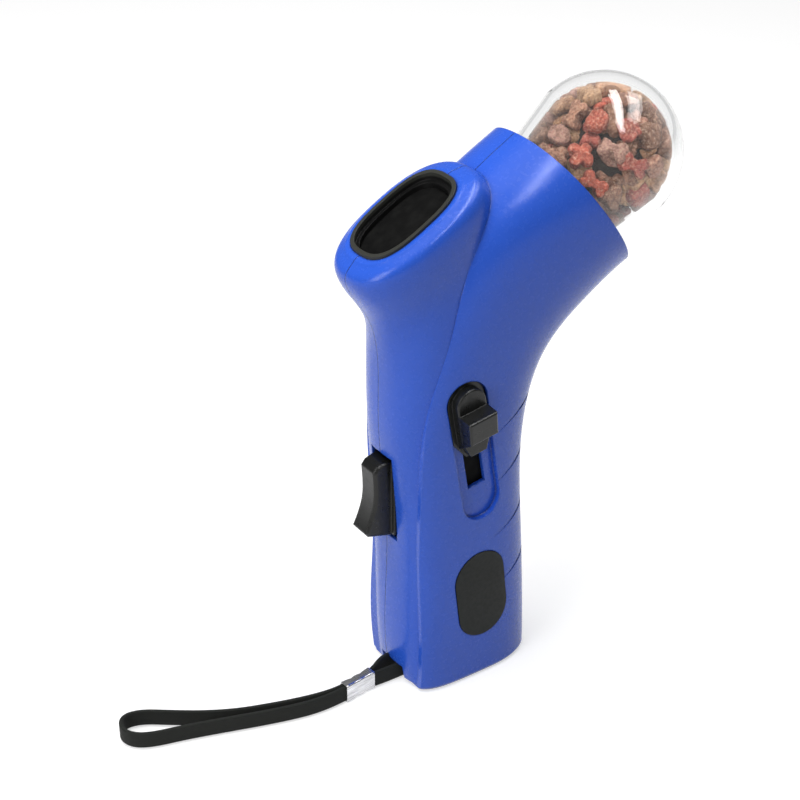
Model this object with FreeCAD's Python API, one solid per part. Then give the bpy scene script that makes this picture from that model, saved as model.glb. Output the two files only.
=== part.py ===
import FreeCAD, Part
import math
import os

# Push button treat dispenser: a hand held launcher for dry treats.
# Millimetres. X runs from the muzzle side to the jar side, Y across the grip, Z up.
# The origin is the middle of the flat base. The two housing halves meet on the plane Y = 0.
# The clear jar feeds treats down a chute onto a plate in the barrel. The side knob pulls the plate
# down against its spring until the trigger's hook catches it, and the trigger lets it fly.

V = FreeCAD.Vector
os.makedirs("parts", exist_ok=True)

# Clearances and walls
wall = 1.5                   # housing wall
floor_wall = 2.2             # floor of the grip
gap = 0.3                    # clearance between a moving piece and its neighbours
fit = 0.06                   # radial clearance of a running fit
seat = 0.05                  # clearance between pieces that are seated on each other

# Housing outline in side view. Each ring of the two lofts is given by its front point, its rear
# point, its half width and how square it is at the front, on the right and on the left side,
# and at the rear.
front_rings = [
    ((-25.0, 0.0), (21.0, 0.0), 19.2, 4.6, 2.4, 2.6),
    ((-26.7, 45.0), (19.5, 45.0), 19.0, 3.8, 2.5, 2.6),
    ((-28.4, 85.0), (16.0, 84.0), 18.7, 3.2, 2.6, 2.6),
    ((-29.6, 112.0), (10.0, 120.0), 18.2, 2.8, 2.5, 2.5),
    ((-30.3, 130.6), (7.0, 149.0), 17.6, 2.4, 2.2, 2.4),
    ((-33.7, 141.2), (8.5, 165.5), 17.3, 2.3, 2.1, 2.4),
]
rear_rings = [
    ((-26.6, 0.0), (26.2, 0.0), 20.1, 4.8, 2.7, 2.9),
    ((-27.6, 40.0), (24.4, 40.0), 19.9, 4.2, 2.7, 2.9),
    ((-29.0, 80.0), (22.4, 76.0), 19.8, 3.8, 2.8, 2.8),
    ((-28.5, 108.0), (23.6, 95.0), 20.0, 3.6, 3.0, 2.7),
    ((-22.3, 134.0), (28.6, 112.5), 20.8, 3.2, 2.9, 2.6),
    ((-13.0, 159.0), (39.2, 125.0), 22.4, 2.8, 2.8, 2.5),
    ((0.6, 176.2), (51.0, 133.5), 24.2, 2.5, 2.5, 2.4),
    ((22.3, 190.0), (62.1, 138.9), 25.2, 2.2, 2.2, 2.2),
]

# Muzzle
muzzle = V(-20.0, 0, 171.9)  # middle of the muzzle's mouth
launch_lean = 10.0           # degrees that the launch axis leans forward
mouth_lean = 30.2            # degrees that the mouth's plane normal leans forward
mouth_square = 2.85          # how square the oval mouth is
mouth_length = 18.6          # half length of the black lip, along the mouth's plane
mouth_width = 12.2           # half width of the black lip
nose_rings = [               # depth under the mouth's plane, growth in length and in width
    (7.8, 9.0, 6.1),
    (3.4, 8.1, 5.6),
    (1.0, 5.0, 3.6),
    (0.0, 2.2, 1.9),
]

# Seam between the narrow front of the housing and its proud rear, in side view from the base up
seam_points = [(-23.8, -2.0), (-24.0, 20.0), (-24.1, 45.0), (-24.2, 80.0), (-21.5, 112.2),
               (-13.7, 136.3), (-6.6, 158.0), (1.3, 171.5), (5.2, 179.0), (6.4, 190.0)]
nose_round = 8.5             # radius under the front of the grip
nose_toe = -20.4             # where the front of the grip meets the floor
base_rounding = [(0.0, 1.7), (0.5, 0.75), (1.8, 0.0)]  # height and inset of the base's rounded edge

# Launch barrel, in its own frame: x to the rear, z along the launch axis, origin in the mouth
bore_length = 15.0           # half length of the barrel's bore, square to the axis
bore_width = 9.8             # half width of the bore
barrel_wall = 1.1
barrel_floor = -52.0         # top of the barrel's floor
floor_thickness = 2.5
lip_height = 0.9             # how far the lip stands above the blue nose
plate_depth = 3.2            # how far the launch plate lies under the mouth at rest
plate_thickness = 1.8
travel = 22.0                # how far the knob pulls the plate down
window_top = -13.0           # chute window in the barrel's rear wall
window_bottom = -29.0
window_width = 7.4           # half width

# Plunger
rod_radius = 2.5
carriage_top = -58.0
carriage_height = 18.0
carriage_depth = 6.1         # half size along x
carriage_width = 8.4         # half size along y
tooth_reach = 1.3            # how far the catch tooth stands in front of the carriage
tooth_height = 1.3
tooth_half_width = 2.2
rod_end = -64.0
lug_reach = 15.6             # how far the carriage's lug goes towards the slot
lug_half_depth = 4.5
knob_screw_height = -69.0
coil_radius = 6.3            # launch spring, to the middle of its wire
wire_radius = 0.55
wire_corners = 6             # the wire's section is faceted
coil_turns = 9

# Knob, its recess and its slot in the right half, in the launch frame
slider_shift = 0.8           # how far they stand behind the launch axis
track_depth = 2.0            # of the recess, under the housing's surface
track_back = 1.6             # wall behind the recess floor
track_rim = 1.5              # how far that wall reaches past the recess
track_half_width = 7.6
track_top = -53.6            # ends of the recess along the launch axis
track_bottom = -108.2
slot_half_width = 3.5
slot_top = -59.5
slot_spare = 1.9             # free length of the slot at the end of the travel
knob_back = 18.5             # back of the knob, from the parting plane
base_half_width = 7.2        # knob's base plate, which fills the recess
base_top = -53.9
base_side_low = -75.0
base_bottom = -81.5
base_face = 19.3
knob_foot = 3.2              # half width of the lower ends
raised_half_width = 5.6      # plate that carries the thumb block
raised_top = -55.3
raised_side_low = -74.0
raised_bottom = -80.0
knob_face = 22.7
block_half_width = 5.5
block_top = -62.7
block_drop = 0.8             # how far the ledge falls towards its edge
block_height = 8.4
block_reach = 28.4           # thumb block's edge, from the parting plane
block_lean = 1.0
block_round = 0.7
knob_shank = 1.4
screw_bite = 5.8             # how far the screw goes into the knob
strip_half_width = 4.6       # dust strip behind the slot
strip_thickness = 1.0
strip_top = -60.0
strip_bottom = -98.0

# Trigger, in side view
trigger_half_width = 4.3
pivot = V(-23.0, 0, 82.0)
trigger_chamfer = 0.8
finger_points = [(-34.2, 85.8), (-33.8, 79.5), (-34.1, 73.5), (-35.9, 67.5), (-37.7, 63.6)]
lever_back = -25.2
flange_front = -27.4         # flange that closes the opening round the lever
flange_half_width = 5.8
flange_low = 60.4
flange_high = 87.6
opening_half_width = 6.1
opening_back = -24.6
pin_radius = 1.5

# Grip inlays and grooves
pad_middle = (-0.8, 34.6)
pad_half_width = 10.2
pad_half_length = 17.2
pad_lean = 7.1
pad_proud = 0.25
pad_depth = 1.3
groove_heights = [105.0, 85.5, 64.2, 43.0]
groove_depth = 0.55
groove_width = 1.0
groove_slope = 24.0

# Hopper jar and its seat: z along the jar's axis, x down and to the rear, origin in the collar's rim
rim_middle = V(41.9, 0, 164.8)
jar_lean = 57.0              # degrees from upright
dome_radius = 26.5
dome_height = 20.4           # from the rim to the dome's centre
jar_wall = 3.2
jar_rim_radius = 22.9        # outside, where it leaves the socket
neck_radius = 19.2
neck_wall = 1.8
neck_end = -16.0
shoulder = -4.2              # underside of the jar's shoulder
seal_radius = 0.45
seal_corners = 6             # the seal's section is faceted
socket_wall = 1.6
treat_gap = 0.7
treat_relief = 4.0           # depth of the gaps between the outer treats
treat_size = 4.2             # half width of an outer treat
treat_root = 5.5             # length of an outer treat
treat_rows = [               # base along the jar's axis, lift, how many in the row, reach
    (6.5, 0, 10, 19.1),
    (17.5, 0, 11, 21.3),
    (20.4, 30, 10, 22.1),
    (20.4, 61, 5, 22.1),
    (20.4, 90, 1, 22.1),
]
chute_wall = 1.3
chute_points = 12            # points of the chute's outlines

# Screws and strap
screw_places = [(6.5, 171.0), (30.5, 126.0), (14.3, 92.0), (-17.0, 38.0), (14.5, 13.5)]
boss_radius = 3.2
screw_radius = 1.3
screw_reach = 10.0           # how far a screw goes into the right half
head_radius = 2.6
head_height = 1.9
head_sink = 2.6              # how deep the knob's screw head sits in the carriage
head_seat = 11.5             # where the heads sit, from the parting plane
strap_width = 6.0
strap_thickness = 1.3
strap_lift = 0.6             # under edge of the strap above the floor
post_radius = 1.5
post_middle = V(-17.0, -2.4, 0)
pocket_half_width = 6.4
pocket_height = 6.8
ferrule_start = V(-36.0, -4.3, 0)
ferrule_end = V(-48.4, -5.9, 0)
ferrule_wall = 0.5
ferrule_slack = 0.1          # free room beside each of the two straps in it


def ring(front, rear, half_width, square_right, square_left, square_rear, inset=0.0, count=28):
    # closed smooth curve through front and rear, square to the side view
    length = math.hypot(rear[0] - front[0], rear[1] - front[1])
    ux = (rear[0] - front[0]) / length
    uz = (rear[1] - front[1]) / length
    mid_x = (front[0] + rear[0]) / 2.0
    mid_z = (front[1] + rear[1]) / 2.0
    points = []
    for i in range(count):
        turn = 2.0 * math.pi * i / count
        c = math.cos(turn)
        s = math.sin(turn)
        square = square_rear
        if c < 0:
            square = square_right if s < 0 else square_left
        along = math.copysign(abs(c) ** (2.0 / square), c) * (length / 2.0 - inset)
        across = math.copysign(abs(s) ** (2.0 / square), s) * (half_width - inset)
        points.append(V(mid_x + along * ux, across, mid_z + along * uz))
    curve = Part.BSplineCurve()
    curve.interpolate(points, PeriodicFlag=True)
    return Part.Wire([curve.toShape()])


def loft(wires):
    return Part.makeLoft(wires, True, False, False, 3)


def mouth_ring(depth, half_length, half_width, square=mouth_square):
    # oval parallel to the mouth's plane, depth under it
    lean = math.radians(mouth_lean)
    mid = V(muzzle.x + depth * math.sin(lean), 0, muzzle.z - depth * math.cos(lean))
    along = V(math.cos(lean) * half_length, 0, math.sin(lean) * half_length)
    front = mid - along
    rear = mid + along
    return ring((front.x, front.z), (rear.x, rear.z), half_width, square, square, square)


def rounded_foot(body, sizes):
    # body with the edge of its base rounded
    front, rear, half_width = sizes[:3]
    wires = []
    for height, inset in base_rounding:
        lifted = ((front[0], height), (rear[0], height), half_width) + sizes[3:]
        wires.append(ring(*lifted, inset))
    top = base_rounding[-1][0]
    foot = Part.makeLoft(wires, True, True)
    return body.common(foot.fuse(box(-90, 120, -60, 60, top, 260)))


def front_body(inset=0.0):
    wires = [ring(*sizes, inset) for sizes in front_rings]
    for depth, more_length, more_width in nose_rings:
        half_length = mouth_length + more_length - inset
        half_width = mouth_width + more_width - inset
        wires.append(mouth_ring(depth + inset, half_length, half_width, 2.5))
    return loft(wires)


def rear_body(inset=0.0):
    return loft([ring(*sizes, inset) for sizes in rear_rings])


def side_prism(points, smooth=True):
    # everything behind a line drawn in side view, through the whole width
    line = [V(x, -60, z) for x, z in points]
    if smooth:
        curve = Part.BSplineCurve()
        curve.interpolate(line)
        edge = curve.toShape()
    else:
        edge = Part.makePolygon(line)
    corners = [line[-1], V(120, -60, line[-1].z), V(120, -60, line[0].z), line[0]]
    wire = Part.Wire([edge] + Part.makePolygon(corners).Edges)
    return Part.Face(wire).extrude(V(0, 120, 0))


def seam_prism(shift=0.0):
    return side_prism([(x + shift, z) for x, z in seam_points])


def box(x0, x1, y0, y1, z0, z1):
    return Part.makeBox(x1 - x0, y1 - y0, z1 - z0, V(x0, y0, z0))


def cylinder(radius, start, end):
    along = end - start
    return Part.makeCylinder(radius, along.Length, start, along)


def put(shape, origin, lean):
    # shape turned in the side view and moved to its origin
    placed = shape.copy()
    move = FreeCAD.Placement(origin, FreeCAD.Rotation(V(0, 1, 0), lean))
    placed.Placement = move.multiply(placed.Placement)
    return placed


def on_launch_axis(shape):
    return put(shape, muzzle, -launch_lean)


def on_slider(shape):
    shifted = shape.copy()
    shifted.translate(V(slider_shift, 0, 0))
    return on_launch_axis(shifted)


def on_jar_axis(shape):
    return put(shape, rim_middle, jar_lean)


def oval(half_length, half_width, z, square=mouth_square, middle=0.0):
    return ring((middle - half_length, z), (middle + half_length, z), half_width, square, square,
                square)


def flat_oval_prism(half_length, half_width, z0, z1, square=mouth_square):
    face = Part.Face(oval(half_length, half_width, z0, square))
    return face.extrude(V(0, 0, z1 - z0))


def under_mouth(depth):
    # everything below a plane parallel to the mouth, in the launch frame
    slab = Part.makeBox(120, 120, 120, V(-60, -60, -120))
    return put(slab, V(0, 0, -depth), launch_lean - mouth_lean)


def stadium(half_width, low, high, y0, y1):
    # racetrack prism along z, in the launch frame or any other side view frame
    arc_low = Part.Arc(V(-half_width, y0, low + half_width), V(0, y0, low),
                       V(half_width, y0, low + half_width)).toShape()
    arc_high = Part.Arc(V(half_width, y0, high - half_width), V(0, y0, high),
                        V(-half_width, y0, high - half_width)).toShape()
    side_a = Part.makeLine(V(half_width, y0, low + half_width), V(half_width, y0, high - half_width))
    side_b = Part.makeLine(V(-half_width, y0, high - half_width), V(-half_width, y0, low + half_width))
    face = Part.Face(Part.Wire([arc_low, side_a, arc_high, side_b]))
    return face.extrude(V(0, y1 - y0, 0))


def coil(radius, wire, turns, length):
    pitch = (length - 2.0 * wire) / turns
    helix = Part.makeHelix(pitch, pitch * turns, radius)
    corners = []
    for i in range(wire_corners + 1):
        turn = 2.0 * math.pi * i / wire_corners
        corners.append(V(radius + wire * math.cos(turn), 0, wire * math.sin(turn)))
    spring = Part.Wire(helix).makePipeShell([Part.makePolygon(corners)], True, True)
    spring.translate(V(0, 0, wire))
    return spring


def save(shape, name):
    solids = shape.Solids
    result = solids[0] if len(solids) == 1 else Part.makeCompound(solids)
    result.exportStep("parts/" + name + ".step")
    print(name, len(solids), round(shape.Volume, 1), shape.isValid())


def toe_profile():
    # side view of the room above the floor, with the rounded toe under the front of the grip
    corner = nose_toe - nose_round
    bend = nose_round * (1 - math.sin(math.pi / 4))
    arc = Part.Arc(V(corner, -60, nose_round), V(corner + bend, -60, bend), V(nose_toe, -60, 0))
    around = [V(nose_toe, -60, 0), V(150, -60, 0), V(150, -60, 260), V(-80, -60, 260),
              V(-80, -60, nose_round), V(corner, -60, nose_round)]
    wire = Part.Wire([arc.toShape()] + Part.makePolygon(around).Edges)
    return Part.Face(wire).extrude(V(0, 120, 0))


def launch_point(x, z):
    # point of the launch frame in the side view
    lean = math.radians(launch_lean)
    return (muzzle.x + x * math.cos(lean) - z * math.sin(lean),
            muzzle.z + x * math.sin(lean) + z * math.cos(lean))


def jar_point(x, z):
    # point of the jar's frame in the side view
    lean = math.radians(jar_lean)
    return (rim_middle.x + x * math.cos(lean) + z * math.sin(lean),
            rim_middle.z - x * math.sin(lean) + z * math.cos(lean))


def build_housing():
    rear_outer = rounded_foot(rear_body(), rear_rings[0]).common(seam_prism())
    front_outer = rounded_foot(front_body(), front_rings[0])
    outer = front_outer.fuse(rear_outer).common(toe_profile())
    room = box(-60, 80, -40, 40, floor_wall, 260)
    toe_block = box(-60, post_middle.x + post_radius + 4, -40, 40, 0, pocket_height + 5)
    room = room.cut(toe_block)
    front_hollow = front_body(wall).common(room)
    rear_hollow = rear_body(wall).common(seam_prism(wall)).common(room)
    mouth_hole = flat_oval_prism(lip_length + seat, mouth_width + seat, -20, 30)
    barrel_room = flat_oval_prism(bore_length + barrel_wall + seat, bore_width + barrel_wall + seat,
                                  barrel_floor - floor_thickness - seat, -15)
    shell = outer.cut(front_hollow).cut(rear_hollow)
    shell = shell.cut([on_launch_axis(mouth_hole), on_launch_axis(barrel_room)])
    return outer, shell


def guide_ribs(side):
    # two ribs of one half that guide the carriage, front and rear
    ribs = []
    for direction in (-1, 1):
        near = direction * (carriage_depth + gap)
        far = near + direction * 1.6
        y0, y1 = sorted((side * 4.6, side * 30))
        ribs.append(on_launch_axis(box(min(near, far), max(near, far), y0, y1, -106, -57.5)))
    return ribs


def side_cylinder(radius, place, y0, y1):
    return cylinder(radius, V(place[0], y0, place[1]), V(place[0], y1, place[1]))


def pad_prism(grow, side):
    prism = stadium(pad_half_width + grow, -pad_half_length - grow, pad_half_length + grow, 0, side * 40)
    return put(prism, V(pad_middle[0], 0, pad_middle[1]), -pad_lean)


def build_half(side, outer, shell):
    # side is -1 for the right half and 1 for the left half
    y0, y1 = sorted((0, side * 60))
    keep = box(-90, 120, y0, y1, -10, 260)
    half = shell.common(keep)
    inside = outer.common(keep)
    extra = guide_ribs(side)
    seat_rib = box(rib_x, rib_x + 1.8, y0, y1, spring_height - 4.5, spring_height + 4.5)
    extra.append(seat_rib)
    start = side * (trigger_half_width + gap)
    extra.append(side_cylinder(2.0 * pin_radius, (pivot.x, pivot.z), start, side * 30))
    for place in screw_places:
        radius = boss_radius if side < 0 else head_radius + 1.4
        extra.append(side_cylinder(radius, place, 0, side * 30))
    if side < 0:
        back = stadium(track_half_width + track_rim, track_bottom - track_rim,
                       track_top + track_rim, 0, -30)
        extra.append(on_slider(back).cut(rear_body(track_depth + track_back)))
    pad_back = pad_prism(1.2, side).cut(rear_body(pad_depth + 1.3))
    extra.append(pad_back)
    half = half.fuse([piece.common(inside) for piece in extra])
    cuts = [box(-60, opening_back, -opening_half_width, opening_half_width, opening_bottom,
                opening_top)]
    cuts.append(side_cylinder(pin_radius + 0.02, (pivot.x, pivot.z), 0, side * pin_reach))
    cuts.append(pad_prism(0.1, side).cut(rear_body(pad_depth)))
    for place in screw_places:
        if side < 0:
            cuts.append(side_cylinder(screw_radius + 0.02, place, 0, -screw_reach - 1))
        else:
            cuts.append(side_cylinder(screw_radius + 0.15, place, 0, 40))
            cuts.append(side_cylinder(head_radius + 0.3, place, head_seat, 40))
    if side < 0:
        recess = stadium(track_half_width, track_bottom, track_top, 0, -30)
        slot = box(-slot_half_width, slot_half_width, -30, -10, slot_bottom, slot_top)
        cuts.append(on_slider(recess).cut(rear_body(track_depth)))
        cuts.append(on_slider(slot))
    pocket = box(-60, post_middle.x + post_radius + 2.6, post_middle.y - pocket_half_width,
                 post_middle.y + pocket_half_width, -5, pocket_height)
    cuts.append(pocket)
    post_low = V(post_middle.x, post_middle.y, 0)
    cuts.append(cylinder(post_radius + 0.02, post_low, post_low + V(0, 0, pocket_height + 4)))
    cuts += grip_grooves(outer)
    return half.cut(cuts)


def grip_grooves(outer):
    # shallow steps across the rounded rear edge, which fade out on the sides
    behind = outer.copy()
    behind.translate(V(-groove_depth, 0, 0))
    tools = []
    for height in groove_heights:
        slab = box(0, 60, -40, 40, -groove_width / 2, groove_width / 2)
        slab.Placement = FreeCAD.Placement(V(22.0, 0, height),
                                           FreeCAD.Rotation(V(0, 1, 0), -groove_slope))
        slab.translate(V(-20 * math.cos(math.radians(groove_slope)), 0,
                         -20 * math.sin(math.radians(groove_slope))))
        tools.append(slab.cut(behind))
    return tools


def build_barrel():
    tube = flat_oval_prism(bore_length + barrel_wall, bore_width + barrel_wall,
                           barrel_floor - floor_thickness, 30)
    lip = flat_oval_prism(lip_length, mouth_width, -30, 30).cut(under_mouth(2.4))
    body = tube.fuse(lip).common(under_mouth(-lip_height))
    body = body.cut(flat_oval_prism(bore_length, bore_width, barrel_floor, 40))
    flare = flat_oval_prism(lip_length - 1.25, mouth_width - 1.25, -40, 40).cut(under_mouth(1.5))
    body = body.cut(flare)
    body = body.cut(box(6, 30, -window_width, window_width, window_bottom, window_top))
    body = body.cut(Part.makeCylinder(rod_radius + fit, 20, V(0, 0, barrel_floor - 10)))
    return on_launch_axis(body)


def build_plate():
    free = 0.15
    disc = flat_oval_prism(bore_length - free, bore_width - free, -40, 20)
    skirt = disc.cut(flat_oval_prism(bore_length - free - 1.2, bore_width - free - 1.2, -50, 30))
    skirt = skirt.common(box(9.0, 30, -20, 20, window_bottom - 0.6, 20))
    spigot = Part.makeCylinder(coil_radius - wire_radius - 0.4, 8, V(0, 0, spring_top - 4))
    spring_seat = Part.makeCylinder(coil_radius + wire_radius + 0.5, 20, V(0, 0, spring_top))
    below = under_mouth(plate_depth)
    disc = disc.common(below).cut(under_mouth(plate_depth + plate_thickness))
    plate = disc.fuse([piece.common(below) for piece in (skirt, spigot, spring_seat)])
    plate = plate.cut(Part.makeCylinder(rod_radius + 0.02, 30, V(0, 0, rod_top - 30 + 0.1)))
    return on_launch_axis(plate)


def build_carriage():
    block = box(-carriage_depth, carriage_depth, -carriage_width, carriage_width,
                carriage_top - carriage_height, carriage_top)
    block = block.makeChamfer(0.8, [e for e in block.Edges if abs(e.CenterOfMass.x) > 5
                                    and abs(e.CenterOfMass.y) > 8])
    lug = box(slider_shift - lug_half_depth, slider_shift + lug_half_depth, -lug_reach, 0,
              knob_screw_height - 5, knob_screw_height + 9)
    strip = box(slider_shift - strip_half_width, slider_shift + strip_half_width, -lug_reach,
                -lug_reach + strip_thickness, strip_bottom, strip_top)
    tooth = box(-carriage_depth - tooth_reach, 0, -tooth_half_width, tooth_half_width,
                carriage_top - tooth_height, carriage_top)
    body = block.fuse([lug, strip, tooth])
    body = body.cut(Part.makeCylinder(rod_radius + 0.02, 20, V(0, 0, rod_end - 0.1)))
    shank_hole = Part.makeCylinder(knob_shank + seat, 60, V(slider_shift, -30, knob_screw_height),
                                   V(0, 1, 0))
    head_hole = Part.makeCylinder(head_radius + 0.2, 20,
                                  V(slider_shift, carriage_width - head_sink, knob_screw_height),
                                  V(0, 1, 0))
    return on_launch_axis(body.cut([shank_hole, head_hole]))


def knob_plate(half_width, top, side_low, low, y0, y1):
    # plate with a round top and a tapered foot
    shoulder_z = top - half_width
    arc = Part.Arc(V(half_width, y0, shoulder_z), V(0, y0, top), V(-half_width, y0, shoulder_z))
    lower = Part.makePolygon([V(-half_width, y0, shoulder_z), V(-half_width, y0, side_low),
                              V(-knob_foot, y0, low), V(knob_foot, y0, low),
                              V(half_width, y0, side_low), V(half_width, y0, shoulder_z)])
    return Part.Face(Part.Wire([arc.toShape()] + lower.Edges)).extrude(V(0, y1 - y0, 0))


def build_knob():
    base = knob_plate(base_half_width, base_top, base_side_low, base_bottom, -knob_back, -base_face)
    raised = knob_plate(raised_half_width, raised_top, raised_side_low, raised_bottom, -knob_back,
                        -knob_face)
    raised = raised.makeFillet(block_round, [e for e in raised.Edges
                                             if abs(e.CenterOfMass.y + knob_face) < 0.01])
    edge = block_top - block_drop
    low = edge - block_height
    profile = Part.makePolygon([V(-block_half_width, -base_face, block_top),
                                V(-block_half_width, -block_reach, edge),
                                V(-block_half_width, -block_reach + block_lean, low),
                                V(-block_half_width, -base_face, raised_side_low - 3.0),
                                V(-block_half_width, -base_face, block_top)])
    block = Part.Face(profile).extrude(V(2 * block_half_width, 0, 0))
    block = block.makeFillet(block_round, [e for e in block.Edges
                                           if e.CenterOfMass.y < -knob_face - 2])
    stem = box(-slot_half_width + gap, slot_half_width - gap, -base_face + 0.2, -lug_reach - seat,
               stem_bottom, slot_top - 1.0)
    body = base.fuse([raised, block, stem])
    pilot = Part.makeCylinder(knob_shank + 0.02, screw_bite + 0.3,
                              V(0, -lug_reach - screw_bite - 0.2, knob_screw_height), V(0, 1, 0))
    return on_slider(body.cut(pilot))


def build_knob_screw():
    shank = Part.makeCylinder(knob_shank, carriage_width - head_sink + lug_reach + screw_bite,
                              V(0, -lug_reach - screw_bite, knob_screw_height), V(0, 1, 0))
    head = Part.makeCylinder(head_radius, head_height,
                             V(0, carriage_width - head_sink, knob_screw_height), V(0, 1, 0))
    return on_slider(shank.fuse(head))


def build_trigger():
    # side view of the trigger: the concave face for the finger, the pivot and the hook
    flank = -carriage_depth - gap
    tip_low = launch_point(flank, carriage_top - travel + gap)
    tip_high = launch_point(flank, carriage_top - travel + gap + hook_thickness)
    finger = Part.BSplineCurve()
    finger.interpolate([V(x, 0, z) for x, z in finger_points])
    front_low = V(finger_points[-1][0], 0, finger_points[-1][1])
    front_top = V(finger_points[0][0], 0, finger_points[0][1])
    outline = [front_low, V(-36.4, 0, 61.8), V(-27.4, 0, 59.4), V(lever_back, 0, 60.2),
               V(lever_back, 0, 71.0), V(-20.6, 0, 78.5), V(-19.2, 0, 83.0),
               V(-16.8, 0, tip_low[1] - 3.0), V(-15.4, 0, tip_low[1]), V(tip_low[0], 0, tip_low[1]),
               V(tip_high[0], 0, tip_high[1]), V(-17.0, 0, tip_high[1]), V(-21.5, 0, 87.0),
               V(-26.5, 0, 88.2), V(-30.6, 0, 88.4), V(-32.8, 0, 87.6), front_top]
    wire = Part.Wire([finger.toShape()] + Part.makePolygon(outline).Edges)
    face = Part.Face(wire)
    face.translate(V(0, -trigger_half_width, 0))
    lever = face.extrude(V(0, 2 * trigger_half_width, 0))
    front = [e for e in lever.Edges if e.CenterOfMass.x < -30.0
             and abs(abs(e.CenterOfMass.y) - trigger_half_width) < 0.01]
    lever = lever.makeChamfer(trigger_chamfer, front)
    lever = lever.fuse(box(flange_front, lever_back, -flange_half_width, flange_half_width,
                           flange_low, flange_high))
    slim = 2 * trigger_half_width
    for side in (-1, 1):
        y0, y1 = sorted((side * tooth_half_width, side * slim))
        lever = lever.cut(box(-18.6, 0, y0, y1, 60, 110))
    lever = lever.cut(side_cylinder(pin_radius + fit, (pivot.x, pivot.z), -30, 30))
    return lever


def build_trigger_spring():
    spring = coil(2.4, 0.4, 6, rib_x - 0.1 - (spring_start + 0.1))
    return put(spring, V(spring_start + 0.1, 0, spring_height), 90)


def build_socket():
    face_top = shoulder - 2 * seal_radius
    slab = on_jar_axis(box(-60, 60, -40, 40, face_top - socket_wall, face_top))
    plate = slab.common(rear_body(wall + seat))
    outer_radius = neck_radius + 0.3 + socket_wall
    bottom = neck_end - 0.3 - socket_wall
    sleeve = Part.makeCylinder(outer_radius, face_top - bottom, V(0, 0, bottom))
    well = Part.makeCylinder(neck_radius + 0.3, 60, V(0, 0, neck_end - 0.3))
    throat = Part.makeCylinder(neck_radius - neck_wall, 60, V(0, 0, bottom - 5))
    return plate.fuse(on_jar_axis(sleeve)).cut([on_jar_axis(well), on_jar_axis(throat)])


def build_chute():
    start = neck_end - 0.3 - socket_wall - seat
    wide = neck_radius - neck_wall

    def throat(grow):
        top = jar_point(-wide - grow, start)
        low = jar_point(wide + grow, start)
        a = launch_point(bore_length - 4, window_top + grow)
        b = launch_point(bore_length - 4, window_bottom - grow)
        upper = ring(top, low, wide + grow, 2.0, 2.0, 2.0, 0.0, chute_points)
        lower = ring(a, b, window_width + grow, 3.0, 3.0, 3.0, 0.0, chute_points)
        return loft([upper, lower])

    barrel = on_launch_axis(flat_oval_prism(bore_length + barrel_wall + seat,
                                            bore_width + barrel_wall + seat, -80, 30))
    return throat(chute_wall).cut([throat(0.0), barrel])


def revolve(points, arcs=()):
    # solid of revolution about z from a closed outline; an arc goes through its middle point
    edges = []
    middles = dict(arcs)
    for i, start in enumerate(points):
        end = points[(i + 1) % len(points)]
        a = V(start[0], 0, start[1])
        b = V(end[0], 0, end[1])
        if i in middles:
            edges.append(Part.Arc(a, V(middles[i][0], 0, middles[i][1]), b).toShape())
        else:
            edges.append(Part.makeLine(a, b))
    return Part.Face(Part.Wire(edges)).revolve(V(0, 0, 0), V(0, 0, 1), 360)


def build_jar():
    inner = dome_radius - jar_wall
    half = math.sqrt(0.5)
    points = [(neck_radius - neck_wall, neck_end), (neck_radius, neck_end), (neck_radius, shoulder),
              (jar_rim_radius, shoulder), (dome_radius, dome_height), (0, dome_height + dome_radius),
              (0, dome_height + inner), (inner, dome_height), (jar_rim_radius - jar_wall, -1.0),
              (neck_radius - neck_wall, shoulder - 0.5)]
    arcs = {4: (dome_radius * half, dome_height + dome_radius * half),
            6: (inner * half, dome_height + inner * half)}
    return on_jar_axis(revolve(points, arcs))


def build_seal():
    middle = (neck_radius + jar_rim_radius) / 2
    points = []
    for i in range(seal_corners):
        turn = 2.0 * math.pi * i / seal_corners
        points.append((middle + seal_radius * math.cos(turn),
                       shoulder - seal_radius + seal_radius * math.sin(turn)))
    return revolve(points)


def treat_prism(turn, base, lift, reach):
    # one treat of the load's outer layer, six sided, pointing outwards
    corners = []
    for i in range(7):
        corner = math.pi * i / 3.0
        corners.append(V(treat_size * math.cos(corner), treat_size * math.sin(corner),
                         reach - treat_root))
    prism = Part.Face(Part.makePolygon(corners)).extrude(V(0, 0, treat_root))
    prism.Placement = FreeCAD.Placement(V(0, 0, base), FreeCAD.Rotation(V(0, 1, 0), 90 - lift))
    prism.rotate(V(0, 0, base), V(0, 0, 1), turn)
    return prism


def treat_profile(sink):
    # outline of the load, sink under its skin above the neck
    inner = dome_radius - jar_wall - treat_gap - sink
    half = math.sqrt(0.5)
    neck = neck_radius - neck_wall - treat_gap
    rim = jar_rim_radius - jar_wall - treat_gap - sink
    points = [(0, neck_end + 1), (neck, neck_end + 1), (neck, shoulder), (rim, 0.0),
              (inner, dome_height), (0, dome_height + inner)]
    return revolve(points, {4: (inner * half, dome_height + inner * half)})


def build_treats():
    treats = []
    for base, lift, number, reach in treat_rows:
        for i in range(number):
            treats.append(treat_prism(360.0 * (i + lift / 60.0) / number, base, lift, reach))
    return on_jar_axis(treat_profile(treat_relief).fuse(treats))


def build_pad(side):
    y0, y1 = sorted((0, side * 60))
    skin = rear_body(-pad_proud).common(box(-90, 120, y0, y1, -10, 260))
    return pad_prism(0.0, side).common(skin).cut(rear_body(pad_depth - seat))


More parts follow.
